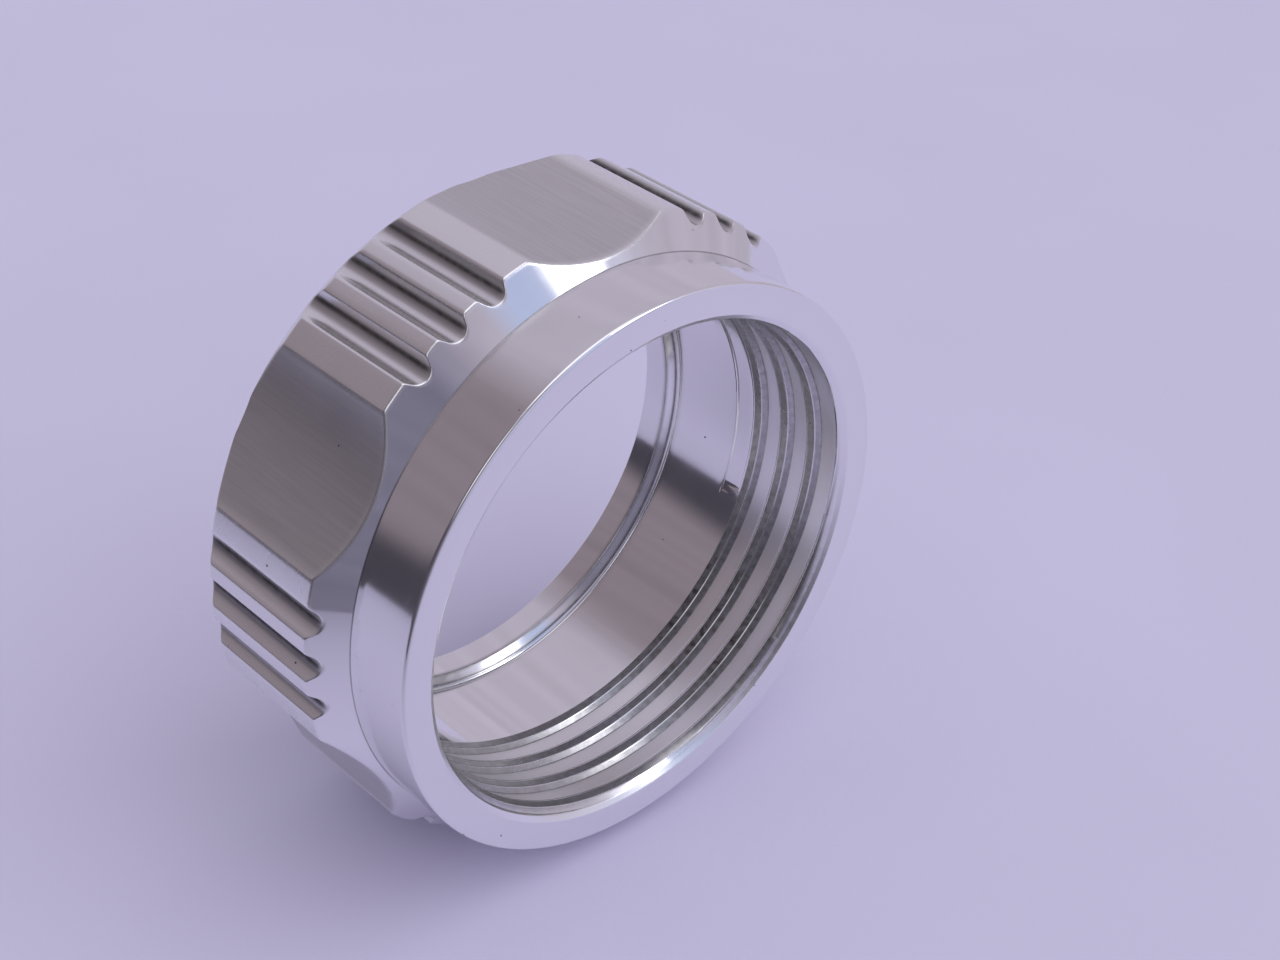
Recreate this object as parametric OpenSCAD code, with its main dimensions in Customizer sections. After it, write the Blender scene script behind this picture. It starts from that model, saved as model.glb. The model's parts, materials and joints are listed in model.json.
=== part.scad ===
// Threaded lock ring, turned from one aluminium blank.
// It stands on the two edges of its lowest finger hollow, with the ring axis
// along Y and the open threaded mouth towards -Y. The origin lies under the
// middle of the ring, on the surface that it stands on.
// The bore is the leading size: the walls and rises outside it are added to it.

/* [Bore] */
// Diameter of the smooth bore, which is also the crest of the thread
bore_d = 57.7; // [45:0.1:80]
// Size of the 45 degree lead-in at the mouth, in depth and in radius
lead_in = 1.4; // [1:0.05:2]
// Height of the inner shoulder, from the bore in to the opening of the rear lip
lip_step = 1.4; // [1.4:0.05:4]
// Length of the rear lip's opening, from its chamfer to the rear face
lip_len = 3.5; // [2:0.1:6]
// Size of the 45 degree chamfer on the front edge of the rear lip
lip_chamfer = 0.85; // [0.3:0.05:0.9]
// Radius of the fillet in the corner between the bore and the shoulder
shoulder_fillet = 0.45; // [0.1:0.05:0.45]

/* [Thread] */
// Axial distance from one turn to the next, six turns to the inch
thread_pitch = 4.233; // [4.2:0.001:5]
// Depth of the thread groove below the bore
thread_depth = 0.75; // [0.6:0.05:0.8]
// Width of the flat root of the groove
root_w = 2.5; // [1.8:0.05:2.5]
// Lean of the slanting flank that faces the mouth, from a square cut
lead_flank_angle = 45; // [30:1:50]
// Lean of the steep flank that carries the load, from a square cut
load_flank_angle = 7; // [3:1:10]
// Distance from the front face to the foot of the slanting flank at the thread's inner end
thread_end = 16.5; // [12:0.1:20]
// Angle round the ring at which the thread ends, counted from the top hollow
thread_end_angle = 250; // [0:1:359]
// Depth of the groove at its inner end
thread_start_depth = 0.2; // [0.1:0.05:0.4]
// Part of a turn over which the groove fades in to its full depth
thread_fade = 0.7; // [0.1:0.05:0.9]

/* [Collar] */
// Thickness of the collar's wall at the front face
collar_wall = 3.5; // [2:0.1:6]
// Length of the collar from the front face to the foot of the cone
collar_len = 8.4; // [5:0.1:11]
// Radius of the rounded edge between the collar and the front face
collar_edge = 0.4; // [0.2:0.05:1]

/* [Body] */
// Length of the ring from the front face to the rear face
total_len = 30.5; // [27:0.1:40]
// Height of the round lands of the body above the collar
land_rise = 3.6; // [3:0.05:6]
// Axial length of the cone from the collar up to the lands
cone_len = 2.8; // [1.5:0.1:5]
// Axial length of the bevel at the rear edge
rear_bevel_len = 2.9; // [1:0.1:4]
// Radial depth of the bevel at the rear edge
rear_bevel_drop = 2.45; // [1:0.05:3]

/* [Finger hollows] */
// Number of hollows round the body, with a grooved land between each two
hollow_count = 6; // [4:1:6]
// Radius of the hollow's own curve, seen along the ring axis
hollow_r = 28.5; // [20:0.5:34]
// Depth of a hollow at its middle, below the round of the body
hollow_cut = 2.6; // [1.5:0.05:3]

/* [Grip grooves] */
// Number of grooves on each land
groove_count = 3; // [1:1:3]
// Angle from one groove to the next
groove_step = 8.3; // [7:0.1:9]
// Radius of the rounded bottom of a groove
groove_r = 1.65; // [1:0.05:2]
// Depth of a groove below the round of the body
groove_depth = 1.35; // [0.8:0.05:1.6]

/* [Hidden] */
$fn = 128;

// Extra length by which a cutter passes the surface that it cuts
over = 1;
bore_r = bore_d / 2;
lip_r = bore_r - lip_step;
mouth_r = bore_r + lead_in;
collar_r = mouth_r + collar_wall;
body_r = collar_r + land_rise;
rear_r = body_r - rear_bevel_drop;
land_front = collar_len + cone_len;
land_rear = total_len - rear_bevel_len;
lip_front = total_len - lip_len;
shoulder_at = lip_front - lip_chamfer;

// Distance from the ring axis to the axis of a hollow's curve
hollow_offset = body_r - hollow_cut + hollow_r;
// Height of the ring axis over the two edges of the lowest hollow
rest_h = (hollow_offset * hollow_offset + body_r * body_r - hollow_r * hollow_r) / (2 * hollow_offset);
hollow_step = 360 / hollow_count;
groove_offset = body_r - groove_depth + groove_r;

// The thread groove is swept in short steps, and runs out past the front face
steps_per_turn = 48;
// How far the groove's open side reaches into the empty bore
inside = 0.4;
groove_h = thread_depth + inside;
lead_flank_w = groove_h * tan(lead_flank_angle);
load_flank_w = groove_h * tan(load_flank_angle);
thread_steps = ceil((thread_end + lead_flank_w) / thread_pitch * steps_per_turn);
// Corners of the groove, as depth below the bore and axial place from the foot of the slanting flank
groove_form = [
    [-inside, -root_w - load_flank_w],
    [thread_depth, -root_w],
    [thread_depth, 0],
    [-inside, lead_flank_w]];
// How far the groove still lies above its full depth, at a number of turns from its inner end
function lift(turn) = (thread_depth - thread_start_depth) * max(0, 1 - turn / thread_fade);
function thread_ring(turn) =
    let (angle = thread_end_angle + 360 * turn)
    let (foot = thread_end - thread_pitch * turn)
    [for (p = groove_form)
        let (r = bore_r + p[0] - lift(turn))
        [r * cos(angle), r * sin(angle), -(foot + p[1])]];

// Half section of the ring, from the axis outwards and from the front face back
module ring_section() {
    polygon(concat(
        [[lip_r, -total_len], [lip_r, -lip_front], [lip_r + lip_chamfer, -shoulder_at]],
        [for (a = [-90 : 15 : 0])
            [bore_r - shoulder_fillet + shoulder_fillet * cos(a),
                shoulder_fillet - shoulder_at + shoulder_fillet * sin(a)]],
        [[bore_r, -lead_in], [mouth_r, 0]],
        [for (a = [90 : -15 : 0])
            [collar_r - collar_edge + collar_edge * cos(a), -collar_edge + collar_edge * sin(a)]],
        [[collar_r, -collar_len], [body_r, -land_front], [body_r, -land_rear], [rear_r, -total_len]]));
}

// A straight cutter along the ring, at a distance from the axis
module long_cutter(offset, radius) {
    translate([offset, 0, -total_len - over])
        cylinder(r = radius, h = total_len + 2 * over);
}

module finger_hollows() {
    for (i = [0 : hollow_count - 1])
        rotate(i * hollow_step)
            long_cutter(hollow_offset, hollow_r);
}

module grip_grooves() {
    for (i = [0 : hollow_count - 1])
        for (j = [0 : groove_count - 1])
            rotate((i + 0.5) * hollow_step + (j - (groove_count - 1) / 2) * groove_step)
                long_cutter(groove_offset, groove_r);
}

// Right-hand helical groove that starts inside the bore and runs out at the mouth
module thread_groove() {
    n = len(groove_form);
    points = [for (i = [0 : thread_steps]) each thread_ring(i / steps_per_turn)];
    last = n * thread_steps;
    sides = [for (i = [0 : n : last - n], k = [0 : n - 1])
        let (next = (k + 1) % n)
        each [[i + k, i + n + k, i + n + next], [i + k, i + n + next, i + next]]];
    ends = [for (k = [1 : n - 2]) each [[0, k, k + 1], [last + k + 1, last + k, last]]];
    polyhedron(points, concat(sides, ends));
}

module lock_ring() {
    color("#b4b0ba")
        translate([0, -total_len / 2, rest_h])
            rotate([90, 0, 0])
                rotate(90)
                    difference() {
                        rotate_extrude() ring_section();
                        finger_hollows();
                        grip_grooves();
                        thread_groove();
                    }
}

lock_ring();
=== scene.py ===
"""Turned aluminium lock ring: its finished surface, the plain floor that it stands on, light and camera."""

import json
import math

import bpy
import numpy as np
from mathutils import Matrix, Vector


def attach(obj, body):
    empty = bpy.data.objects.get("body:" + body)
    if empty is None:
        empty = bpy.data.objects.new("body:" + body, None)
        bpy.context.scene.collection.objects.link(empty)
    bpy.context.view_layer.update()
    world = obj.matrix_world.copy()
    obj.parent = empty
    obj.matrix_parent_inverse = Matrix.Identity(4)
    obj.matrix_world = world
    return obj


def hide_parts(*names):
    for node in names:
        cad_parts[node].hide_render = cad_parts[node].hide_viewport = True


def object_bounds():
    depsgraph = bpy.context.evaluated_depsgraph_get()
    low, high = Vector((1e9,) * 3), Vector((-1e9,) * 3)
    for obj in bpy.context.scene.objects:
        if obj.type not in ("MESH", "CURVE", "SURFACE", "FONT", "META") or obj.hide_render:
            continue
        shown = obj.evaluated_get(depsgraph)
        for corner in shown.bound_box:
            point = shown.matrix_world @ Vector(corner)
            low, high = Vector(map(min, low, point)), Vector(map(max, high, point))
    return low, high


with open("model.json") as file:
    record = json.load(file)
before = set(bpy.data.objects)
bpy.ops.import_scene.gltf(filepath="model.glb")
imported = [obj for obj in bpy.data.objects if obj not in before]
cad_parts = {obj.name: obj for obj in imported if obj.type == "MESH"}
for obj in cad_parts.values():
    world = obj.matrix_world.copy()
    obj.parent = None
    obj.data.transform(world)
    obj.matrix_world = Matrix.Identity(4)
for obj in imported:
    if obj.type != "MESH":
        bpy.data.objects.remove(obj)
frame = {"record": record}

bl_info = {
    "name": "Threaded lock ring",
    "version": (1, 0, 0),
    "blender": (4, 5, 0),
    "location": "3D View > Sidebar > Lock ring",
    "description": "Builds a polished aluminium lock ring with its thread, grip grooves and finish",
    "category": "Object",
}

MM = 0.001
NODE = "lock_ring"

# The box of the solid model, and the round walls that its record states
CAD_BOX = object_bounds()
MOUNTS = {m["name"]: m for m in frame["record"]["mounts"]}
AXIS_HEIGHT = MOUNTS["thread"]["pos_m"][2]
FRONT_Y = CAD_BOX[0].y
TOTAL_LEN = CAD_BOX[1].y - CAD_BOX[0].y
BORE_R = MOUNTS["thread"]["dims"]["r_mm"] * MM
LIP_R = MOUNTS["rear_lip"]["dims"]["r_mm"] * MM
LIP_LEN = MOUNTS["rear_lip"]["dims"]["length_mm"] * MM

# The picture's width, and the focal length in its pixels
PICTURE_W = 1280
FOCAL_PX = 2121.6
SENSOR_W = 36.0

# How many turns of the thread the mesh follows, from its inner end out through the mouth
THREAD_TURNS = 5


def linear(hex_colour, alpha=1.0):
    """Linear RGBA of an sRGB hex colour such as #c2bcdc."""
    parts = [int(hex_colour[i:i + 2], 16) / 255 for i in (1, 3, 5)]
    return tuple(c / 12.92 if c <= 0.04045 else ((c + 0.055) / 1.055) ** 2.4 for c in parts) + (alpha,)


def add(tree, kind, inputs=None, **settings):
    """Adds a shader node of a kind such as Math, with its settings, and sets or links its inputs."""
    made = tree.nodes.new("ShaderNode" + kind)
    for key, value in settings.items():
        setattr(made, key, value)
    for key, value in (inputs or {}).items():
        if isinstance(value, bpy.types.NodeSocket):
            tree.links.new(value, made.inputs[key])
        else:
            made.inputs[key].default_value = value
    return made


def set_stops(ramp, stops):
    """Fills a colour ramp with (position, linear colour) stops in rising order."""
    elements = ramp.color_ramp.elements
    while len(elements) < len(stops):
        elements.new(1.0)
    for element, (position, colour) in zip(elements, stops):
        element.position = position
        element.color = colour


class LockRingSizes(bpy.types.PropertyGroup):
    """Sizes of the ring outside and inside its bore."""

    lead_in: bpy.props.FloatProperty(
        name="Lead-in", description="How much wider the mouth is than the bore, in radius",
        default=1.4 * MM, unit="LENGTH", precision=5)
    mouth_bevel_len: bpy.props.FloatProperty(
        name="Mouth bevel", description="Axial length of the steep bevel from the front face inwards",
        default=0.46 * MM, unit="LENGTH", precision=5)
    lip_chamfer: bpy.props.FloatProperty(
        name="Lip chamfer", description="Size of the 45 degree chamfer on the rear lip's front edge",
        default=0.85 * MM, unit="LENGTH", precision=5)
    shoulder_fillet: bpy.props.FloatProperty(
        name="Shoulder fillet", description="Radius of the fillet between the bore and the shoulder",
        default=0.45 * MM, unit="LENGTH", precision=5)
    thread_pitch: bpy.props.FloatProperty(
        name="Thread pitch", description="Distance from one turn of the thread to the next",
        default=4.233 * MM, unit="LENGTH", precision=6)
    thread_depth: bpy.props.FloatProperty(
        name="Thread depth", description="Depth of the thread groove below the bore",
        default=0.75 * MM, unit="LENGTH", precision=5)
    root_w: bpy.props.FloatProperty(
        name="Thread root", description="Width of the flat root of the thread groove",
        default=2.5 * MM, unit="LENGTH", precision=5)
    flank_rise: bpy.props.FloatProperty(
        name="Flank rise", description="Height of the slanting flank before it bends over to the worn crest",
        default=0.55 * MM, unit="LENGTH", precision=5)
    crest_slope_w: bpy.props.FloatProperty(
        name="Crest slope", description="Width of the worn crest, which leans a little towards the mouth",
        default=0.88 * MM, unit="LENGTH", precision=5)
    load_flank_w: bpy.props.FloatProperty(
        name="Load flank", description="Axial width of the steep flank that carries the load",
        default=0.09 * MM, unit="LENGTH", precision=5)
    thread_end: bpy.props.FloatProperty(
        name="Thread end", description="Distance from the front face to the slanting flank at the inner end",
        default=16.5 * MM, unit="LENGTH", precision=5)
    thread_end_angle: bpy.props.FloatProperty(
        name="Thread end angle", description="Angle of the thread's inner end, counted from the top hollow",
        default=math.radians(250), subtype="ANGLE")
    thread_start_depth: bpy.props.FloatProperty(
        name="Thread start depth", description="Depth of the thread groove at its inner end",
        default=0.13 * MM, unit="LENGTH", precision=5)
    thread_fade: bpy.props.FloatProperty(
        name="Thread fade", description="Part of a turn over which the groove comes to its full depth",
        default=0.7, min=0.1, max=0.9)
    collar_wall: bpy.props.FloatProperty(
        name="Collar wall", description="Thickness of the collar's wall at the front face",
        default=3.5 * MM, unit="LENGTH", precision=5)
    collar_len: bpy.props.FloatProperty(
        name="Collar length", description="Length of the collar from the front face to the cone",
        default=8.4 * MM, unit="LENGTH", precision=5)
    land_rise: bpy.props.FloatProperty(
        name="Land rise", description="Height of the round lands above the collar",
        default=3.6 * MM, unit="LENGTH", precision=5)
    cone_len: bpy.props.FloatProperty(
        name="Cone length", description="Length of the cone from the collar up to the lands",
        default=2.8 * MM, unit="LENGTH", precision=5)
    bevel_len: bpy.props.FloatProperty(
        name="Rear bevel length", description="Axial length of the bevel at the rear edge",
        default=2.9 * MM, unit="LENGTH", precision=5)
    bevel_drop: bpy.props.FloatProperty(
        name="Rear bevel drop", description="Radial depth of the bevel at the rear edge",
        default=2.45 * MM, unit="LENGTH", precision=5)
    hollow_count: bpy.props.IntProperty(
        name="Hollows", description="Number of finger hollows round the body", default=6, min=4, max=6)
    hollow_r: bpy.props.FloatProperty(
        name="Hollow radius", description="Radius of a hollow's own curve",
        default=28.5 * MM, unit="LENGTH", precision=5)
    hollow_cut: bpy.props.FloatProperty(
        name="Hollow depth", description="Depth of a hollow at its middle",
        default=2.6 * MM, unit="LENGTH", precision=5)
    groove_count: bpy.props.IntProperty(
        name="Grooves", description="Number of grooves on each land", default=3, min=1, max=3)
    groove_step: bpy.props.FloatProperty(
        name="Groove step", description="Angle from one groove to the next",
        default=math.radians(8.3), subtype="ANGLE")
    groove_r: bpy.props.FloatProperty(
        name="Groove radius", description="Radius of a groove's rounded bottom",
        default=1.65 * MM, unit="LENGTH", precision=5)
    groove_depth: bpy.props.FloatProperty(
        name="Groove depth", description="Depth of a groove below the lands",
        default=1.35 * MM, unit="LENGTH", precision=5)
    edge_soft: bpy.props.FloatProperty(
        name="Edge softness", description="How far the polishing wheel has rounded the edges",
        default=0.3 * MM, unit="LENGTH", precision=5)
    columns: bpy.props.IntProperty(
        name="Columns", description="Number of mesh columns round the ring", default=624, min=240, max=800)


class LockRingFinish(bpy.types.PropertyGroup):
    """Colours of the metal, its dirt and painted shade, and the floor, and how smooth each face of the ring
    is.
    """

    metal: bpy.props.FloatVectorProperty(
        name="Metal", description="Colour of the polished aluminium",
        default=linear("#f5f5f6"), size=4, min=0, max=1, subtype="COLOR")
    # Painted shade: this dark colour stands for the shade in the concave corners, grooves and thread, as
    # well as for the polish and dirt left there
    grime: bpy.props.FloatVectorProperty(
        name="Grime", description="Colour of the polish and dirt left in the corners",
        default=linear("#2b2529"), size=4, min=0, max=1, subtype="COLOR")
    # In the groove bottoms this dull film colour also stands for painted shade
    film: bpy.props.FloatVectorProperty(
        name="Film", description="Colour of the dull film on the milled faces and in the grooves",
        default=linear("#6a6165"), size=4, min=0, max=1, subtype="COLOR")
    floor: bpy.props.FloatVectorProperty(
        name="Floor", description="Colour of the plain floor",
        default=linear("#c2bcdc"), size=4, min=0, max=1, subtype="COLOR")
    face_rough: bpy.props.FloatProperty(
        name="Front face", description="Roughness of the front and rear faces",
        default=0.2, min=0, max=1, subtype="FACTOR")
    collar_rough: bpy.props.FloatProperty(
        name="Collar", description="Roughness of the collar", default=0.11, min=0, max=1, subtype="FACTOR")
    cone_rough: bpy.props.FloatProperty(
        name="Cone", description="Roughness of the bright cone",
        default=0.07, min=0, max=1, subtype="FACTOR")
    land_rough: bpy.props.FloatProperty(
        name="Lands", description="Roughness of the lands and their grooves",
        default=0.26, min=0, max=1, subtype="FACTOR")
    hollow_rough: bpy.props.FloatProperty(
        name="Hollows", description="Roughness of the milled finger hollows",
        default=0.32, min=0, max=1, subtype="FACTOR")
    hollow_film: bpy.props.FloatProperty(
        name="Film in hollows", description="Share of dull film on the finger hollows",
        default=0.36, min=0, max=1, subtype="FACTOR")
    # Painted shade: this share darkens the groove bottoms as shade as well as dull film
    groove_film: bpy.props.FloatProperty(
        name="Film in grooves", description="Share of dull film on the bottoms of the grooves",
        default=0.52, min=0, max=1, subtype="FACTOR")
    bore_rough: bpy.props.FloatProperty(
        name="Bore", description="Roughness of the bore and lip",
        default=0.1, min=0, max=1, subtype="FACTOR")
    thread_rough: bpy.props.FloatProperty(
        name="Thread", description="Roughness of the thread's flanks and crests",
        default=0.17, min=0, max=1, subtype="FACTOR")
    root_rough: bpy.props.FloatProperty(
        name="Thread root", description="Roughness of the flat root of the thread",
        default=0.3, min=0, max=1, subtype="FACTOR")


class LockRingStudio(bpy.types.PropertyGroup):
    """Place of the camera and of the soft light round the ring."""

    camera_place: bpy.props.FloatVectorProperty(
        name="Camera", description="Place of the camera",
        default=(-129.84 * MM, -141.85 * MM, 170.89 * MM), subtype="TRANSLATION", unit="LENGTH")
    camera_aim: bpy.props.FloatVectorProperty(
        name="Aim", description="Point in the middle of the picture",
        default=(3.6 * MM, -8.6 * MM, 43.7 * MM), subtype="TRANSLATION", unit="LENGTH")
    camera_roll: bpy.props.FloatProperty(
        name="Roll", description="Turn of the camera about its line of sight",
        default=math.radians(3.33), subtype="ANGLE")
    softbox_azimuth: bpy.props.FloatProperty(
        name="Softbox azimuth",
        description="Direction of the bright softbox, from the front towards the right",
        default=math.radians(33.9), subtype="ANGLE")
    softbox_half_width: bpy.props.FloatProperty(
        name="Softbox half width", description="Half of the angle that the softbox takes up",
        default=math.radians(7.1), subtype="ANGLE")
    softbox_low: bpy.props.FloatProperty(
        name="Softbox low edge", description="Elevation of the lower edge of the softbox",
        default=math.radians(18), subtype="ANGLE")
    softbox_high: bpy.props.FloatProperty(
        name="Softbox high edge", description="Elevation of the upper edge of the softbox",
        default=math.radians(52), subtype="ANGLE")
    softbox_strength: bpy.props.FloatProperty(
        name="Softbox strength", description="Brightness of the softbox", default=4.0, min=0)
    overhead_strength: bpy.props.FloatProperty(
        name="Overhead strength", description="Brightness of the soft light overhead", default=1.2, min=0)
    fill_strength: bpy.props.FloatProperty(
        name="Fill strength", description="Brightness of the plain light on the floor from all sides",
        default=0.62, min=0)
    lamp_strength: bpy.props.FloatProperty(
        name="Lamp strength", description="Brightness of the soft lamp on the right front",
        default=1.85, min=0)
    lamp_azimuth: bpy.props.FloatProperty(
        name="Lamp azimuth", description="Direction of the lamp, from the front towards the right",
        default=math.radians(15), subtype="ANGLE")
    lamp_height: bpy.props.FloatProperty(
        name="Lamp height", description="Elevation of the lamp", default=math.radians(38), subtype="ANGLE")
    floor_edge: bpy.props.FloatProperty(
        name="Floor edge", description="Distance from the ring to the floor's edge by the dark strip",
        default=225 * MM, unit="LENGTH")
    floor_front: bpy.props.FloatProperty(
        name="Floor front", description="Distance from the ring to the floor's front edge",
        default=122 * MM, unit="LENGTH")
    strip_azimuth: bpy.props.FloatProperty(
        name="Strip azimuth", description="Direction of the dark strip, from the front towards the right",
        default=math.radians(-130), subtype="ANGLE")
    strip_top: bpy.props.FloatProperty(
        name="Strip top", description="Elevation of the top of the dark strip behind on the left",
        default=math.radians(4.5), subtype="ANGLE")
    strip_lean: bpy.props.FloatProperty(
        name="Strip lean", description="How fast the top of the dark strip climbs towards the left front",
        default=1.0)


def mouth_dirt_and_shade(angle):
    """Dirt and painted shade on the bevel at the mouth, thickest low down on the right."""
    most, thickest_at, spread = 0.6, math.radians(232), math.radians(26)
    return most * np.exp(-((angle - thickest_at) / spread) ** 2)


class RingShape:
    """The ring's outline and bore, in millimetres, with depth counted back from the front face."""

    def __init__(self, sizes):
        for key in sizes.__annotations__:
            value = getattr(sizes, key)
            angle = key in ("thread_end_angle", "groove_step")
            plain = key in ("hollow_count", "groove_count", "columns", "thread_fade")
            setattr(self, key, value if angle or plain else value / MM)
        self.total = TOTAL_LEN / MM
        self.bore = BORE_R / MM
        self.lip = LIP_R / MM
        self.mouth = self.bore + self.lead_in
        self.collar = self.mouth + self.collar_wall
        self.body = self.collar + self.land_rise
        self.rear = self.body - self.bevel_drop
        self.lip_front = self.total - LIP_LEN / MM
        self.shoulder_at = self.lip_front - self.lip_chamfer
        self.hollow_offset = self.body - self.hollow_cut + self.hollow_r
        self.groove_offset = self.body - self.groove_depth + self.groove_r
        self.sector = 2 * math.pi / self.hollow_count

    def from_middle(self, angle, place):
        """Signed angle from the nearest repeat of a place on the ring."""
        half = self.sector / 2
        return (angle - place + half) % self.sector - half

    def groove_places(self):
        """Angles of the grooves of one land, counted from the middle of a hollow."""
        middle = (self.groove_count - 1) / 2
        return [self.sector / 2 + (j - middle) * self.groove_step for j in range(self.groove_count)]

    def cut_radius(self, angle, offset, radius):
        """Distance from the axis to a round cutter that lies along the ring, or the body where it misses."""
        side = offset * np.sin(angle)
        hit = np.abs(side) < radius
        reach = offset * np.cos(angle) - np.sqrt(np.where(hit, radius ** 2 - side ** 2, 0))
        return np.where(hit & (np.cos(angle) > 0), np.minimum(reach, self.body), self.body)

    def hollow_radius(self, angle):
        """Radius of the body with its hollows alone."""
        return self.cut_radius(self.from_middle(angle, 0), self.hollow_offset, self.hollow_r)

    def outline(self, angle):
        """Radius of the body at each angle, sharp-edged, with its hollows and grooves."""
        radius = self.hollow_radius(angle)
        for place in self.groove_places():
            from_groove = self.from_middle(angle, place)
            radius = np.minimum(radius, self.cut_radius(from_groove, self.groove_offset, self.groove_r))
        return radius

    def groove_dirt(self, angle):
        """Dirt and painted shade in the grooves: a dark line packed along each, with a darker film beside
        it. It lies at the bottom of the grooves on the left, and on their upper sides towards the top and on
        the right."""
        line, film = np.zeros_like(angle), np.zeros_like(angle)
        lean = np.maximum(0, np.cos(angle))
        on_left = np.sin(angle) > 0
        # How far the line lies from the groove's bottom and how wide it is, in mm
        up_the_side = np.where(on_left, 1.2 * lean - 0.1, 1.3)
        width = np.where(on_left, 0.45 - 0.25 * lean, 0.22)
        film_off, film_width = 0.3, 0.7
        for place in self.groove_places():
            across = self.from_middle(angle, place) * self.body + up_the_side
            line = np.maximum(line, np.exp(-(across / width) ** 2))
            film = np.maximum(film, np.exp(-((across - film_off) / film_width) ** 2))
        return line, film

    def soft_outline(self):
        """Angles crowded where the outline bends, with its radius after the edges were rounded."""
        count = 36000
        fine = np.linspace(0, 2 * np.pi, count, endpoint=False)
        step = self.body * 2 * np.pi / count
        reach = int(3 * self.edge_soft / step)
        weight = np.exp(-0.5 * (np.arange(-reach, reach + 1) * step / (0.6 * self.edge_soft)) ** 2)
        sharp = self.outline(fine)
        wrapped = np.concatenate([sharp[-reach:], sharp, sharp[:reach]])
        soft = np.convolve(wrapped, weight / weight.sum(), "valid")
        bend = np.abs(np.gradient(np.gradient(soft, step), step))
        # Columns stand closer where the outline bends, along the dark lines of dirt and painted shade, and
        # at the thread's inner end
        at_start = np.exp(-((fine - self.thread_end_angle - math.radians(2)) / math.radians(2.5)) ** 2)
        crowd = 1 + 3.0 * np.minimum(np.sqrt(bend), 2.0) + 3.0 * self.groove_dirt(fine)[0] + 8.0 * at_start
        crowd = np.cumsum(crowd)
        crowd = np.concatenate([[0], crowd]) / crowd[-1]
        wanted = np.arange(self.columns) / self.columns
        angle = np.interp(wanted, crowd, np.linspace(0, 2 * np.pi, count + 1))
        return angle, np.interp(angle, fine, soft, period=2 * np.pi)

    def lift(self, turn):
        """How far the thread groove lies above its full depth, a number of turns from its inner end."""
        return (self.thread_depth - self.thread_start_depth) * np.clip(1 - turn / self.thread_fade, 0, 1)

    def crest_at(self, turn):
        """Axial place, from the foot of the slanting flank, at which the groove comes up to the bore."""
        lift = self.lift(turn)
        top = self.thread_depth - self.flank_rise
        on_slope = self.flank_rise + self.crest_slope_w * (1 - lift / top)
        return np.where(lift < top, on_slope, self.thread_depth - lift)

    def bore_radius(self, turn, depth):
        """Radius of the bore wall with its lead-in and thread, at a part of a turn and a depth."""
        # A steep bevel at the mouth, and a 45 degree slope that takes off the thread's first sharp crest
        bevel_rise = self.lead_in - self.thread_depth
        on_bevel = self.thread_depth + bevel_rise * (1 - depth / self.mouth_bevel_len)
        # The slope comes in from 8 to 24 degrees past the thread's inner end, and goes from 300 to 320
        from_end = turn * 360
        cut_back = np.clip((from_end - 8) / 16, 0, 1) * np.clip((320 - from_end) / 20, 0, 1)
        on_slope = (self.thread_depth + self.mouth_bevel_len - depth) * cut_back
        radius = self.bore + np.maximum(0, np.where(depth < self.mouth_bevel_len, on_bevel, on_slope))
        crest = self.flank_rise + self.crest_slope_w
        places = [-self.root_w - self.load_flank_w, -self.root_w, 0, self.flank_rise, crest]
        heights = [0, self.thread_depth, self.thread_depth, self.thread_depth - self.flank_rise, 0]
        # The tool went in at a slant: its rear corner cut first, and its front corner some degrees later
        tool_w, lag, lead, all_in = 1.8, 3.5, 0.4, 4.0
        for g in range(THREAD_TURNS + 1):
            along = turn + g
            place = depth - (self.thread_end - self.thread_pitch * along)
            late = np.clip(-place / tool_w, 0, 1) * lag - lead
            went_in = np.sqrt(np.clip((along * 360 - late) / (all_in - late), 0, 1))
            full = np.interp(place, places, heights) - self.lift(along)
            radius = np.maximum(radius, self.bore + np.maximum(0, full) * went_in)
        return radius


def rounded_rows(corners, softness, steps):
    """Rows of a rounded outline: each inner corner becomes a short arc. A row holds, for each column,
    the radius, the depth, the roughness, the dirt and painted shade, and the dull film (with painted shade
    in the grooves) there."""
    rows = [corners[0]]
    for k in range(1, len(corners) - 1):
        here = corners[k]
        back, on = corners[k - 1] - here, corners[k + 1] - here
        back_len = np.maximum(np.linalg.norm(back[:, :2], axis=1, keepdims=True), 1e-9)
        on_len = np.maximum(np.linalg.norm(on[:, :2], axis=1, keepdims=True), 1e-9)
        set_back = np.minimum(softness[k], 0.45 * np.minimum(back_len, on_len))
        start = here + back * set_back / back_len
        end = here + on * set_back / on_len
        for t in np.linspace(0, 1, steps[k]):
            rows.append((1 - t) ** 2 * start + 2 * t * (1 - t) * here + t ** 2 * end)
    rows.append(corners[-1])
    return rows


def row_of(radius, depth, rough, dirt=0.0, film=0.0):
    """One row from values that are the same all round or differ from column to column."""
    return np.stack(np.broadcast_arrays(radius, depth, rough, dirt, film), 1).astype(float)


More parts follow.
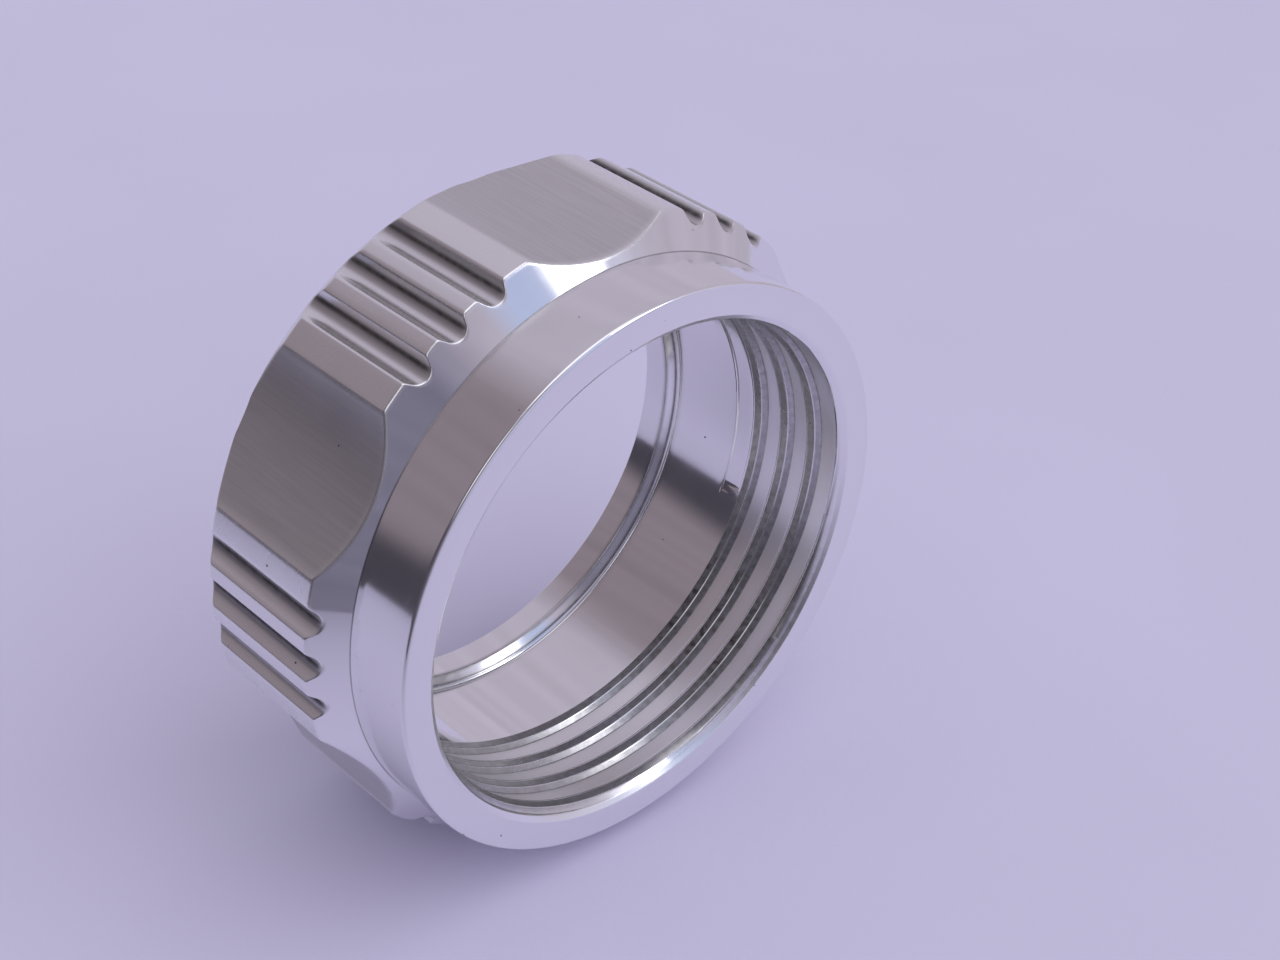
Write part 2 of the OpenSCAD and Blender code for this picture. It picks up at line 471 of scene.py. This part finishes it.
def ring_rows(shape, finish, angle, radius):
    """Rows of the ring from the mouth's edge over the collar and body to the bore wall. Each corner
    has its row, how far it is rounded, in mm, and in how many steps."""
    count = len(radius)
    even = np.zeros(count)
    climb = shape.cone_len / shape.land_rise
    cone_end = shape.collar_len + (radius - shape.collar) * climb
    over = np.maximum(0, radius - shape.rear)
    bevel_start = shape.total - over * shape.bevel_len / shape.bevel_drop
    in_hollow = np.clip((shape.body - shape.hollow_radius(angle)) / 0.5, 0, 1)
    body_rough = finish.land_rough + (finish.hollow_rough - finish.land_rough) * in_hollow
    # The dark lines and film in the grooves are dirt and painted shade; the film on the hollows is dull film
    # alone
    line, bottom = shape.groove_dirt(angle)
    film = np.maximum(finish.hollow_film * in_hollow, finish.groove_film * bottom)
    soft = shape.edge_soft
    face, collar, cone, bore = finish.face_rough, finish.collar_rough, finish.cone_rough, finish.bore_rough
    # The fourth value in each row is dirt and painted shade: dark lines in the concave corners at the cone's
    # foot, the lip's front and the shoulder, and along the grooves
    corners = [
        (row_of(shape.mouth + even, 0, face, 0), 0, 1),
        (row_of(shape.mouth + 0.04 + even, 0, face, 0), 0, 1),
        (row_of(shape.mouth + 0.3 + even, 0, face, 0), 0.1, 2),
        (row_of(shape.collar - 1.2 + even, 0, face, 0), 0.2, 2),
        (row_of(shape.collar + even, 0, collar, 0), 0.4, 6),
        (row_of(shape.collar + even, 2.0, collar, 0), 0.3, 2),
        (row_of(shape.collar + even, shape.collar_len - 1.0, collar, 0), 0.3, 2),
        (row_of(shape.collar + even, shape.collar_len - 0.12, collar, 0), 0, 1),
        (row_of(shape.collar + even, shape.collar_len, cone, 0.7), 0.05, 3),
        (row_of(shape.collar + 0.12 + even, shape.collar_len + 0.12 * climb, cone, 0), 0, 1),
        (row_of(radius - 0.3 / climb, cone_end - 0.3, cone, 0, 0), 0, 1),
        (row_of(radius, cone_end, body_rough, 0.2 * line, 0.5 * film), soft, 6),
        (row_of(radius, cone_end + 0.8, body_rough, line, film), 0.2, 2),
        (row_of(radius, bevel_start - 0.8, body_rough, line, film), 0.2, 2),
        (row_of(radius, bevel_start, body_rough, 0.6 * line, film), soft, 6),
        (row_of(np.minimum(shape.rear, radius), shape.total, face, 0), soft, 6),
        (row_of(shape.lip + 2.5 + even, shape.total, face, 0), 0.5, 2),
        (row_of(shape.lip + even, shape.total, bore, 0), 0.2, 4),
        (row_of(shape.lip + even, shape.lip_front + 0.5, bore, 0), 0.1, 2),
        (row_of(shape.lip + even, shape.lip_front, bore, 0.5), 0.1, 4),
        (row_of(shape.lip + 0.3 + even, shape.lip_front - 0.3, bore, 0), 0.05, 2),
        (row_of(shape.lip + shape.lip_chamfer - 0.2 + even, shape.shoulder_at + 0.2, bore, 0.1), 0.05, 2),
        (row_of(shape.lip + shape.lip_chamfer + even, shape.shoulder_at, bore, 0.9), 0.06, 3),
    ]
    for turn in np.radians((75, 60, 45, 30, 15, 0)):
        out = shape.shoulder_fillet * (math.cos(turn) - 1)
        back = shape.shoulder_fillet * (math.sin(turn) - 1)
        corners.append((row_of(shape.bore + out + even, shape.shoulder_at + back, bore, 0.1), 0, 1))
    corners += [
        (row_of(shape.bore + even, shape.shoulder_at - 1.0, bore, 0), 0.1, 2),
        (row_of(shape.bore + even, shape.thread_end + 2.6, bore, 0), 0, 1),
    ]
    return rounded_rows([c[0] for c in corners], [c[1] for c in corners], [c[2] for c in corners])


def thread_rows(shape, finish, turn, slot):
    """Rows across one turn of the thread groove, from its rear edge to its front edge."""
    along = turn + slot
    foot = shape.thread_end - shape.thread_pitch * along
    crest = shape.crest_at(along)
    bend = np.minimum(shape.flank_rise, 0.6 * crest)
    front = -shape.root_w - shape.load_flank_w * (1 - shape.lift(along) / shape.thread_depth)
    worn = np.clip(along / shape.thread_fade, 0, 1)
    flank = finish.bore_rough + (finish.thread_rough - finish.bore_rough) * worn
    root = finish.bore_rough + (finish.root_rough - finish.bore_rough) * worn
    bright = finish.bore_rough
    tail = 0.04 + 0.3 * np.clip(1 - along / 0.5, 0, 1)
    # Each row's axial place from the foot of the slanting flank, in mm, its roughness, and its dirt with
    # painted shade
    rows = [
        (crest + tail, bright, 0.0), (crest + 0.02, bright, 0.2), (crest - 0.04, flank, 0.93),
        (bend + 0.1, flank, 0.9), (bend + 0.03, bright, 0.25), (bend - 0.04, bright, 0.25),
        (bend - 0.1, flank, 0.85), (0.06, flank, 0.85), (-0.03, flank, 0.85),
        (-0.15, root, 0.05), (-0.9, root, 0.0), (-1.8, root, 0.0),
        (-shape.root_w + 0.02, root, 0.0), (front - 0.02, bright, 0.0),
    ]
    # The dirt and painted shade on the flanks are thickest low down on the right
    angle = (shape.thread_end_angle + 2 * np.pi * turn) % (2 * np.pi)
    thickest_at, spread = math.radians(222), math.radians(32)
    low = 0.6 + 0.4 * np.exp(-((angle - thickest_at) / spread) ** 2)
    at_mouth = mouth_dirt_and_shade(angle)
    mouth_blend = 0.8
    made = []
    for place, roughness, amount in rows:
        depth = foot + place
        inside = np.clip((depth - shape.mouth_bevel_len) / mouth_blend, 0, 1)
        dirt = at_mouth + (amount * low * np.clip(along * 3, 0, 1) - at_mouth) * inside
        made.append(row_of(shape.bore_radius(turn, depth), depth, roughness, dirt))
    return made


def ring_mesh(shape, finish):
    """The ring as one closed mesh: rows run round the section, columns run round the axis."""
    angle, radius = shape.soft_outline()
    start = np.searchsorted(angle, shape.thread_end_angle)
    angle = np.roll(angle, -start)
    radius = np.roll(radius, -start)
    turn = ((angle - shape.thread_end_angle) / (2 * np.pi)) % 1.0
    count = len(angle)
    mouth_zone = shape.mouth_bevel_len + 0.02
    mouth_steps = 8

    points, finishes = [], []

    def place(row):
        """Adds one row of points and gives the number of each."""
        first = len(points)
        r, d = row[:, 0] * MM, row[:, 1] * MM
        across = np.stack([-r * np.sin(angle), FRONT_Y + d, AXIS_HEIGHT + r * np.cos(angle)], 1)
        points.extend(across.tolist())
        finishes.extend(row[:, 2:].tolist())
        return np.arange(first, first + count)

    outer_rows = [place(row) for row in ring_rows(shape, finish, angle, radius)]
    mouth_rows = []
    for d in np.linspace(mouth_zone, 0, mouth_steps)[:-1]:
        radius_there = shape.bore_radius(turn, d + 0 * turn)
        # The mouth's rows carry dirt and painted shade, thickest low down on the right
        mouth_rows.append(place(row_of(radius_there, d, finish.thread_rough, mouth_dirt_and_shade(angle))))
    slot_rows = []
    for g in range(THREAD_TURNS):
        placed = []
        for row in thread_rows(shape, finish, turn, g):
            merged = row[:, 1] <= mouth_zone
            row[merged, 1] = mouth_zone
            placed.append(np.where(merged, mouth_rows[0], place(row)))
        slot_rows.append(placed)

    faces = []

    def face(*corners):
        """Adds a face, less the corners that fall together."""
        kept = [int(c) for k, c in enumerate(corners) if c != corners[k - 1]]
        if len(set(kept)) > 2:
            faces.append(kept)

    def band(lower, upper, closed):
        """Joins two rows column by column, and the last column to the first on a closed band."""
        for i in range(count if closed else count - 1):
            j = (i + 1) % count
            face(lower[i], lower[j], upper[j], upper[i])

    thread_run = [row for placed in slot_rows for row in placed]
    closed_run = mouth_rows + outer_rows
    for lower, upper in zip(closed_run, closed_run[1:]):
        band(lower, upper, True)
    spiral = [outer_rows[-1]] + thread_run + [mouth_rows[0]]
    for lower, upper in zip(spiral, spiral[1:]):
        band(lower, upper, False)

    # Where the thread meets itself after a turn, each turn goes on into the next one nearer the mouth
    per_slot = len(slot_rows[0])
    end, begin = count - 1, 0
    left = [row[end] for row in thread_run[:-per_slot]] + [mouth_rows[0][end]]
    right = [row[begin] for row in thread_run[per_slot:]] + [mouth_rows[0][begin]]
    for k in range(len(left) - 1):
        face(left[k], right[k], right[k + 1], left[k + 1])
    wall_start = outer_rows[-1]
    first_turn = [row[begin] for row in thread_run[:per_slot]]
    face(wall_start[end], wall_start[begin], *first_turn, right[0], left[0])

    mesh = bpy.data.meshes.new(NODE)
    used = sorted({i for f in faces for i in f})
    number = {old: new for new, old in enumerate(used)}
    mesh.from_pydata([points[i] for i in used], [], [[number[i] for i in f] for f in faces])
    for k, name in enumerate(("polish", "dirt", "film")):
        mesh.attributes.new(name, "FLOAT", "POINT").data.foreach_set("value", [finishes[i][k] for i in used])
    mesh.validate(verbose=False)
    mesh.polygons.foreach_set("use_smooth", [True] * len(mesh.polygons))
    mesh.update()

    # Each point faces the way of the faces round it, the large ones most, so flat faces look flat
    facing = np.zeros((len(mesh.vertices), 3))
    spots = np.array([v.co for v in mesh.vertices]) / MM
    for polygon in mesh.polygons:
        corners = np.array(polygon.vertices)
        around = spots[corners] - spots[corners[0]]
        facing[corners] += np.cross(around[1:-1], around[2:]).sum(0)
    facing /= np.maximum(np.linalg.norm(facing, axis=1, keepdims=True), 1e-12)
    mesh.normals_split_custom_set_from_vertices(facing.tolist())
    return mesh


def polished_aluminium(finish):
    """Polished aluminium: turned bright on a lathe, then buffed. It mirrors the studio in a slightly
    blurred way, with fine turning rings, hairline scratches, a few pits, and dark polish left in
    the corners, where painted shade darkens it further."""
    material = bpy.data.materials.new("polished_turned_aluminium")
    material.use_nodes = True
    tree = material.node_tree
    shader = tree.nodes["Principled BSDF"]
    place = add(tree, "TexCoord").outputs["Object"]
    part = add(tree, "SeparateXYZ", {0: place})
    up = add(tree, "Math", {0: part.outputs["Z"], 1: AXIS_HEIGHT}, operation="SUBTRACT").outputs[0]
    out = add(tree, "CombineXYZ", {0: part.outputs["X"], 2: up}).outputs[0]
    radius = add(tree, "VectorMath", {0: out}, operation="LENGTH").outputs["Value"]
    across = add(tree, "Math", {0: radius, 1: part.outputs["Y"]}, operation="ADD").outputs[0]

    # Turning rings: fine lines round the axis, 0.15 mm apart, that change slowly along their length
    turned = add(tree, "CombineXYZ", {0: part.outputs["X"], 1: across, 2: up}).outputs[0]
    ring_grid = add(tree, "VectorMath", {0: turned, 1: (1 / (14 * MM), 1 / (0.15 * MM), 1 / (14 * MM))},
                    operation="MULTIPLY").outputs[0]
    rings = add(tree, "TexNoise", {"Vector": ring_grid, "Scale": 1.0, "Detail": 2.0}).outputs["Fac"]

    # Hairline scratches from handling, about 0.15 mm wide and 9 mm long, along two slanting directions
    hairs = None
    for turn in ((0.5, 0.3, 0.6), (-0.7, 0.2, -0.4)):
        slant = add(tree, "VectorRotate", {"Vector": place, "Rotation": turn}, rotation_type="EULER_XYZ")
        stretched = add(tree, "VectorMath", {0: slant.outputs[0],
                        1: (1 / (9 * MM), 1 / (0.15 * MM), 1 / (1.5 * MM))}, operation="MULTIPLY").outputs[0]
        lines = add(tree, "TexNoise", {"Vector": stretched, "Scale": 1.0, "Detail": 0.0}).outputs["Fac"]
        picked = add(tree, "MapRange", {0: lines, 1: 0.78, 2: 0.85}).outputs[0]
        if hairs is None:
            hairs = picked
        else:
            hairs = add(tree, "Math", {0: hairs, 1: picked}, operation="MAXIMUM").outputs[0]

    # Milling lines along the ring on the hollows and lands, about 0.35 mm apart
    grip_r, line_gap = 37.0, 0.35
    angle = add(tree, "Math", {0: part.outputs["X"], 1: up}, operation="ARCTAN2").outputs[0]
    round_it = add(tree, "Math", {0: angle, 1: grip_r / line_gap}, operation="MULTIPLY").outputs[0]
    along = add(tree, "Math", {0: part.outputs["Y"], 1: 1 / (11 * MM)}, operation="MULTIPLY").outputs[0]
    mill_grid = add(tree, "CombineXYZ", {0: round_it, 1: along}).outputs[0]
    milled = add(tree, "TexNoise", {"Vector": mill_grid, "Scale": 1.0, "Detail": 2.0}).outputs["Fac"]

    # Pits and specks of dirt, up to 0.15 mm, in some of the cells of a 2.6 mm grid
    cells = add(tree, "TexVoronoi", {"Vector": place, "Scale": 1 / (2.6 * MM)})
    chance = add(tree, "SeparateColor", {0: cells.outputs["Color"]})
    size = add(tree, "MapRange", {0: chance.outputs[0], 1: 0.4, 2: 1.0, 3: 0.0, 4: 0.058}).outputs[0]
    edge = add(tree, "Math", {0: size, 1: cells.outputs["Distance"]}, operation="SUBTRACT").outputs[0]
    specks = add(tree, "MapRange", {0: edge, 1: 0.0, 2: 0.015}).outputs[0]

    # Smudges: patches of about 9 mm where the buffing is duller
    smudges = add(tree, "TexNoise", {"Vector": place, "Scale": 1 / (9 * MM), "Detail": 3.0}).outputs["Fac"]

    # Dark polish left in the corners, with painted shade there, broken up into short runs and crumbs
    crumbs = add(tree, "TexNoise", {"Vector": place, "Scale": 1 / (0.9 * MM), "Detail": 3.0}).outputs["Fac"]
    broken = add(tree, "MapRange", {0: crumbs, 1: 0.35, 2: 0.65, 3: 0.9, 4: 1.1}).outputs[0]
    corner = add(tree, "Attribute", attribute_name="dirt").outputs["Fac"]
    packed = add(tree, "Math", {0: corner, 1: broken}, operation="MULTIPLY").outputs[0]
    dirt = add(tree, "Math", {0: packed, 1: specks}, operation="MAXIMUM", use_clamp=True).outputs[0]

    # The dull film, which in the groove bottoms is painted shade too
    dull = add(tree, "Attribute", attribute_name="film").outputs["Fac"]
    streaks = add(tree, "MapRange", {0: milled, 1: 0.3, 2: 0.7, 3: 0.88, 4: 1.12}).outputs[0]
    film = add(tree, "Math", {0: dull, 1: streaks}, operation="MULTIPLY", use_clamp=True).outputs[0]
    polish = add(tree, "Attribute", attribute_name="polish").outputs["Fac"]
    patches = add(tree, "MapRange", {0: smudges, 1: 0.3, 2: 0.75, 3: -0.015, 4: 0.035}).outputs[0]
    rough = add(tree, "Math", {0: polish, 1: patches}, operation="ADD").outputs[0]
    for layer, weight in ((hairs, 0.05), (film, 0.1), (dirt, 0.2)):
        rough = add(tree, "Math", {0: layer, 1: weight, 2: rough}, operation="MULTIPLY_ADD").outputs[0]

    # Painted shade and dirt: the film colour and the dark colour are mixed into the metal, which turns less
    # metallic where it is darkest
    coated = add(tree, "Mix", {0: film, 6: finish.metal, 7: finish.film}, data_type="RGBA").outputs[2]
    colour = add(tree, "Mix", {0: dirt, 6: coated, 7: finish.grime}, data_type="RGBA").outputs[2]
    bare = add(tree, "MapRange", {0: dirt, 1: 0.75, 2: 1.0, 3: 1.0, 4: 0.2}).outputs[0]
    cut = add(tree, "Math", {0: hairs, 1: -0.15, 2: rings}, operation="MULTIPLY_ADD").outputs[0]
    relief = add(tree, "Bump", {"Strength": 0.1, "Distance": 0.01 * MM, "Height": cut}).outputs[0]
    looks = {"Base Color": colour, "Metallic": bare, "Roughness": rough, "Normal": relief}
    for key, socket in looks.items():
        tree.links.new(socket, shader.inputs[key])
    return material


def matt_card(finish, edge, side):
    """Uncoated card: an even, matt floor with no gloss, its pressed fibres a little uneven in tone.
    The eye sees it plain; in the metal's mirror it carries painted shade, darker towards its two near edges."""
    material = bpy.data.materials.new("matt_pressed_card")
    material.use_nodes = True
    tree = material.node_tree
    shader = tree.nodes["Principled BSDF"]
    place = add(tree, "TexCoord").outputs["Object"]
    fibres = add(tree, "TexNoise", {"Vector": place, "Scale": 1 / (0.6 * MM), "Detail": 4.0}).outputs["Fac"]
    clouds = add(tree, "TexNoise", {"Vector": place, "Scale": 1 / (60 * MM), "Detail": 2.0}).outputs["Fac"]
    both = add(tree, "Math", {0: fibres, 1: 0.35, 2: clouds}, operation="MULTIPLY_ADD").outputs[0]
    tone = add(tree, "MapRange", {0: both, 1: 0.4, 2: 0.95, 3: 0.975, 4: 1.02}).outputs[0]
    seen = add(tree, "LightPath").outputs["Is Camera Ray"]
    # Painted shade: as the metal mirrors it, the floor darkens towards its edge on the left behind and
    # towards its front edge, while the eye sees no change
    for way, near, far, least in ((edge, 25 * MM, 200 * MM, 0.74), (side, 40 * MM, 115 * MM, 0.6)):
        gone = add(tree, "VectorMath", {0: place, 1: way}, operation="DOT_PRODUCT").outputs["Value"]
        dim = add(tree, "MapRange", {0: gone, 1: near, 2: far, 3: 1.0, 4: least}).outputs[0]
        plain = add(tree, "Math", {0: dim, 1: seen}, operation="MAXIMUM").outputs[0]
        tone = add(tree, "Math", {0: tone, 1: plain}, operation="MULTIPLY").outputs[0]
    colour = add(tree, "VectorMath", {0: finish.floor[:3], 1: tone}, operation="MULTIPLY").outputs[0]
    relief = add(tree, "Bump", {"Strength": 0.15, "Distance": 0.02 * MM, "Height": fibres}).outputs[0]
    shader.inputs["Roughness"].default_value = 0.9
    shader.inputs["Specular IOR Level"].default_value = 0.1
    tree.links.new(colour, shader.inputs["Base Color"])
    tree.links.new(relief, shader.inputs["Normal"])
    return material


def studio_light(studio, finish):
    """A pale studio with a softbox to the right front, a dim side to the left and a dark low strip
    behind it, which the metal mirrors. Plain white light from all sides falls on the floor, and a
    backdrop in the floor's own colour stands behind it."""
    world = bpy.data.worlds.new("soft_studio")
    bpy.context.scene.world = world
    world.use_nodes = True
    tree = world.node_tree
    tree.nodes.clear()
    place = add(tree, "TexCoord").outputs["Generated"]
    parts = add(tree, "SeparateXYZ", {0: place})
    front = add(tree, "Math", {0: parts.outputs["Y"], 1: -1.0}, operation="MULTIPLY")
    azimuth = add(tree, "Math", {0: parts.outputs["X"], 1: front.outputs[0]}, operation="ARCTAN2").outputs[0]
    height = add(tree, "Math", {0: parts.outputs["Z"]}, operation="ARCSINE").outputs[0]
    around = add(tree, "MapRange", {0: azimuth, 1: -math.pi, 2: math.pi, 3: 0.0, 4: 1.0})
    walls = add(tree, "ValToRGB", {0: around.outputs[0]})
    # The walls' tones: warm on the left behind, dim on the left, cool in front, blue and bright on the
    # right front, and pale from there round the back
    pale, warm, dim, cool = "#b8b0c0", "#887d86", "#504a54", "#777388"
    blue, bright = "#b4bee0", "#ccc8dc"
    tones = (
        (-180, pale), (-155, warm), (-122, warm), (-100, dim), (-60, dim), (-36, cool), (-14, cool),
        (4, pale), (12, blue), (20, blue), (50, bright), (58, pale), (180, pale))
    set_stops(walls, [((az + 180) / 360, linear(colour)) for az, colour in tones])

    # The walls are uneven in tone, in long level streaks
    level_grid = add(tree, "CombineXYZ", {0: azimuth, 1: height}).outputs[0]
    streak_grid = (1.5, 14.0, 1.0)
    stretched = add(tree, "VectorMath", {0: level_grid, 1: streak_grid},
                    operation="MULTIPLY").outputs[0]
    uneven = add(tree, "TexNoise", {"Vector": stretched, "Scale": 1.0, "Detail": 3.0}).outputs["Fac"]
    streaks = add(tree, "MapRange", {0: uneven, 1: 0.3, 2: 0.7, 3: 0.87, 4: 1.13}).outputs[0]
    streaky = add(tree, "VectorMath", {0: walls.outputs[0], 1: streaks}, operation="MULTIPLY").outputs[0]

    def soft_span(value, low, high, blur):
        """1 where the value lies between low and high, falling to 0 over a blur on each side."""
        rise = add(tree, "MapRange", {0: value, 1: low - blur, 2: low + blur},
                   interpolation_type="SMOOTHSTEP")
        fall = add(tree, "MapRange", {0: value, 1: high + blur, 2: high - blur},
                   interpolation_type="SMOOTHSTEP")
        return add(tree, "Math", {0: rise.outputs[0], 1: fall.outputs[0]}, operation="MULTIPLY").outputs[0]

    # A dark strip above the floor on the left behind the ring, whose top climbs towards the left front
    level = add(tree, "Math", {0: azimuth, 1: -studio.strip_lean, 2: height},
                operation="MULTIPLY_ADD").outputs[0]
    top = studio.strip_top - studio.strip_lean * studio.strip_azimuth
    strip_tall = soft_span(level, top - math.radians(40), top, math.radians(6))
    strip_wide = soft_span(azimuth, math.radians(-155), math.radians(-105), math.radians(8))
    strip = add(tree, "Math", {0: strip_tall, 1: strip_wide}, operation="MULTIPLY").outputs[0]
    dimmed = add(tree, "Mix", {0: strip, 6: streaky, 7: linear("#44404b")}, data_type="RGBA").outputs[2]

    # A pale patch high up on the left front, which lights the small rounded edges inside the ring
    patch_wide = soft_span(azimuth, math.radians(-78), math.radians(-36), math.radians(6))
    patch_tall = soft_span(height, math.radians(26), math.radians(58), math.radians(5))
    patch = add(tree, "Math", {0: patch_tall, 1: patch_wide}, operation="MULTIPLY").outputs[0]
    dimmed = add(tree, "Mix", {0: patch, 6: dimmed, 7: linear("#ece8f2")}, data_type="RGBA").outputs[2]
    walls_light = add(tree, "Background", {"Color": dimmed, "Strength": 1.0})

    box_left = studio.softbox_azimuth - studio.softbox_half_width
    box_right = studio.softbox_azimuth + studio.softbox_half_width
    box_wide = soft_span(azimuth, box_left, box_right, math.radians(2.5))
    box_tall = soft_span(height, studio.softbox_low, studio.softbox_high, math.radians(2))
    box = add(tree, "Math", {0: box_wide, 1: box_tall}, operation="MULTIPLY").outputs[0]
    softbox = add(tree, "Background", {"Color": linear("#fbfaff"), "Strength": studio.softbox_strength})
    lit = add(tree, "MixShader", {0: box, 1: walls_light.outputs[0], 2: softbox.outputs[0]})
    above = add(tree, "MapRange", {0: height, 1: math.radians(58), 2: math.radians(72)},
                interpolation_type="SMOOTHSTEP")
    overhead = add(tree, "Background", {"Color": linear("#f4f1fb"), "Strength": studio.overhead_strength})
    surround = add(tree, "MixShader", {0: above.outputs[0], 1: lit.outputs[0], 2: overhead.outputs[0]})

    path = add(tree, "LightPath")
    mirrored = add(tree, "Math", {0: path.outputs["Is Glossy Ray"], 1: path.outputs["Is Transmission Ray"]},
                   operation="MAXIMUM").outputs[0]
    # The floor is lit from all sides, and more from a soft broad lamp on the right front
    lamp_right, lamp_front = math.sin(studio.lamp_azimuth), math.cos(studio.lamp_azimuth)
    lamp = Vector((lamp_right, -lamp_front, math.tan(studio.lamp_height))).normalized()
    facing = add(tree, "VectorMath", {0: place, 1: lamp}, operation="DOT_PRODUCT").outputs["Value"]
    glow = add(tree, "MapRange", {0: facing, 1: math.cos(math.radians(60)), 2: math.cos(math.radians(20)),
               3: studio.fill_strength, 4: studio.lamp_strength}, interpolation_type="SMOOTHSTEP").outputs[0]
    plain = add(tree, "Background", {"Color": linear("#ffffff"), "Strength": glow})
    backdrop = add(tree, "Background", {"Color": finish.floor, "Strength": 1.0})
    seen = path.outputs["Is Camera Ray"]
    behind = add(tree, "MixShader", {0: seen, 1: plain.outputs[0], 2: backdrop.outputs[0]})
    whole = add(tree, "MixShader", {0: mirrored, 1: behind.outputs[0], 2: surround.outputs[0]})
    add(tree, "OutputWorld", {"Surface": whole.outputs[0]})


class LOCKRING_OT_ring(bpy.types.Operator):
    """Build the ring with its collar, grip, thread and finish"""

    bl_idname = "lock_ring.ring"
    bl_label = "Lock ring"

    def execute(self, context):
        scene = context.scene
        mesh = ring_mesh(RingShape(scene.lock_ring_sizes), scene.lock_ring_finish)
        if not mesh.polygons:
            raise RuntimeError("the ring has no faces")
        ring = bpy.data.objects.new("ring", mesh)
        scene.collection.objects.link(ring)
        mesh.materials.append(polished_aluminium(scene.lock_ring_finish))
        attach(ring, "root")
        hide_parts(NODE)
        return {"FINISHED"}


class LOCKRING_OT_stage(bpy.types.Operator):
    """Build the plain floor, the soft light and the camera"""

    bl_idname = "lock_ring.stage"
    bl_label = "Floor, light and camera"

    def execute(self, context):
        scene = context.scene
        studio = scene.lock_ring_studio
        mesh = bpy.data.meshes.new("floor")
        # The card's two near edges lie outside the picture, on the left behind the ring and in front of
        # it, and on its other two sides it reaches some metres
        reach = 3.0
        edge = Vector((math.sin(studio.strip_azimuth), -math.cos(studio.strip_azimuth), 0))
        side = Vector((-edge.y, edge.x, 0))
        corners = [edge * far + side * across for far, across in (
            (studio.floor_edge, -reach), (studio.floor_edge, studio.floor_front),
            (-reach, studio.floor_front), (-reach, -reach))]
        mesh.from_pydata(corners, [], [(0, 1, 2, 3)])
        floor = bpy.data.objects.new("floor", mesh)
        scene.collection.objects.link(floor)
        mesh.materials.append(matt_card(scene.lock_ring_finish, edge, side))
        studio_light(studio, scene.lock_ring_finish)

        lens = bpy.data.cameras.new("camera")
        lens.sensor_width = SENSOR_W
        lens.lens = SENSOR_W * FOCAL_PX / PICTURE_W
        lens.clip_start = 0.01
        camera = bpy.data.objects.new("camera", lens)
        scene.collection.objects.link(camera)
        place = Vector(studio.camera_place)
        back = (place - Vector(studio.camera_aim)).normalized()
        turn = (-back).to_track_quat("-Z", "Y").to_matrix() @ Matrix.Rotation(studio.camera_roll, 3, "Z")
        camera.matrix_world = Matrix.Translation(place) @ turn.to_4x4()
        scene.camera = camera
        scene.view_settings.view_transform = "Standard"
        return {"FINISHED"}


class LOCKRING_PT_panel(bpy.types.Panel):
    """Sizes, finish and studio of the lock ring, with a button for each piece"""

    bl_idname = "LOCKRING_PT_panel"
    bl_label = "Lock ring"
    bl_space_type = "VIEW_3D"
    bl_region_type = "UI"
    bl_category = "Lock ring"

    def draw(self, context):
        column = self.layout.column()
        scene = context.scene
        for group in (scene.lock_ring_sizes, scene.lock_ring_finish, scene.lock_ring_studio):
            for key in group.__annotations__:
                column.prop(group, key)
        column.operator(LOCKRING_OT_ring.bl_idname)
        column.operator(LOCKRING_OT_stage.bl_idname)


CLASSES = (LockRingSizes, LockRingFinish, LockRingStudio,
           LOCKRING_OT_ring, LOCKRING_OT_stage, LOCKRING_PT_panel)


def register():
    for cls in CLASSES:
        bpy.utils.register_class(cls)
    bpy.types.Scene.lock_ring_sizes = bpy.props.PointerProperty(type=LockRingSizes)
    bpy.types.Scene.lock_ring_finish = bpy.props.PointerProperty(type=LockRingFinish)
    bpy.types.Scene.lock_ring_studio = bpy.props.PointerProperty(type=LockRingStudio)


def unregister():
    del bpy.types.Scene.lock_ring_studio
    del bpy.types.Scene.lock_ring_finish
    del bpy.types.Scene.lock_ring_sizes
    for cls in reversed(CLASSES):
        bpy.utils.unregister_class(cls)


def main():
    register()
    bpy.ops.lock_ring.ring()
    bpy.ops.lock_ring.stage()
    bpy.context.view_layer.update()


if __name__ == "__main__":
    main()
